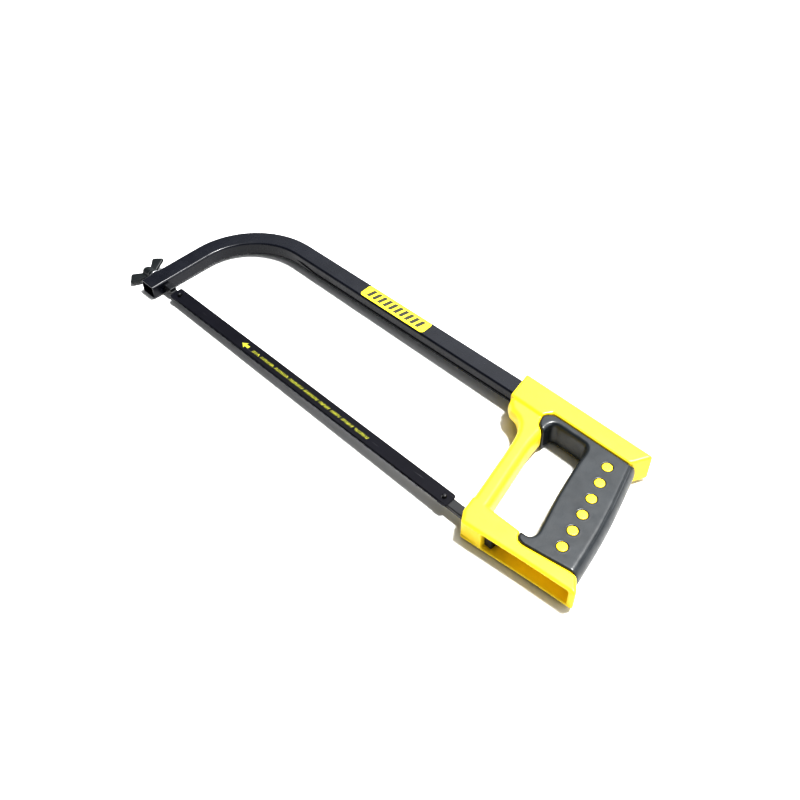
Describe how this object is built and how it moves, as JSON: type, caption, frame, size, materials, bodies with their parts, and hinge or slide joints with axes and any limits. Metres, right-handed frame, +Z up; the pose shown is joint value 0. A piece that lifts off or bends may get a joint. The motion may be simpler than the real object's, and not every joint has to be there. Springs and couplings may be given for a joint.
{
  "type": "hacksaw",
  "caption": "Hacksaw with a bent rectangular tube frame, a closed plastic handle with a rubber grip, and a toothed blade tensioned by a wing nut.",
  "frame": {"origin": "centre of the bounding box, at the height of the handle's lower side face, on which the saw lies", "axes": "+X along the blade from the wing nut to the handle, +Y from the blade to the back of the frame, +Z up through the saw's thickness"},
  "size_m": [0.4696, 0.14, 0.025],
  "materials": {
    "frame_paint": "semi-gloss black paint",
    "label_foil": "glossy yellow vinyl sticker",
    "blade_paint": "satin black enamel on hardened steel",
    "black_steel": "blackened steel, satin",
    "zinc_steel": "zinc plated",
    "nut_paint": "cast and painted black, satin",
    "yellow_plastic": "satin moulded plastic",
    "grip_rubber": "soft moulded rubber, satin"
  },
  "bodies": {
    "frame": {"frame_tube": "frame_paint", "frame_label": "label_foil", "handle_body": "yellow_plastic", "grip_rubber": "grip_rubber", "handle_screw": "zinc_steel", "rear_holder": "black_steel", "rear_blade_pin": "black_steel", "holder_anchor_block": "black_steel"},
    "carrier": {"front_carrier": "black_steel", "front_blade_pin": "black_steel"},
    "tension_nut": {"wing_nut": "nut_paint", "tension_washer": "zinc_steel"},
    "blade": {"saw_blade": "blade_paint"}
  },
  "joints": [
    {"name": "wing_nut_turn", "type": "hinge", "parent": "frame", "child": "tension_nut", "pos_m": [-0.2218, -0.05243, 0.0125], "axis": [-1, 0, 0], "range_deg": [0, 390]},
    {"name": "carrier_slide", "type": "slide", "parent": "frame", "child": "carrier", "axis": [1, 0, 0], "range_m": [0, 0.0011]},
    {"name": "blade_lift", "type": "slide", "parent": "frame", "child": "blade", "axis": [0, 0, 1], "range_m": [0, 0.01]}
  ],
  "couplings": [
    {"joint": "carrier_slide", "follows": "wing_nut_turn", "m_per_rad": 0.00015915}
  ]
}
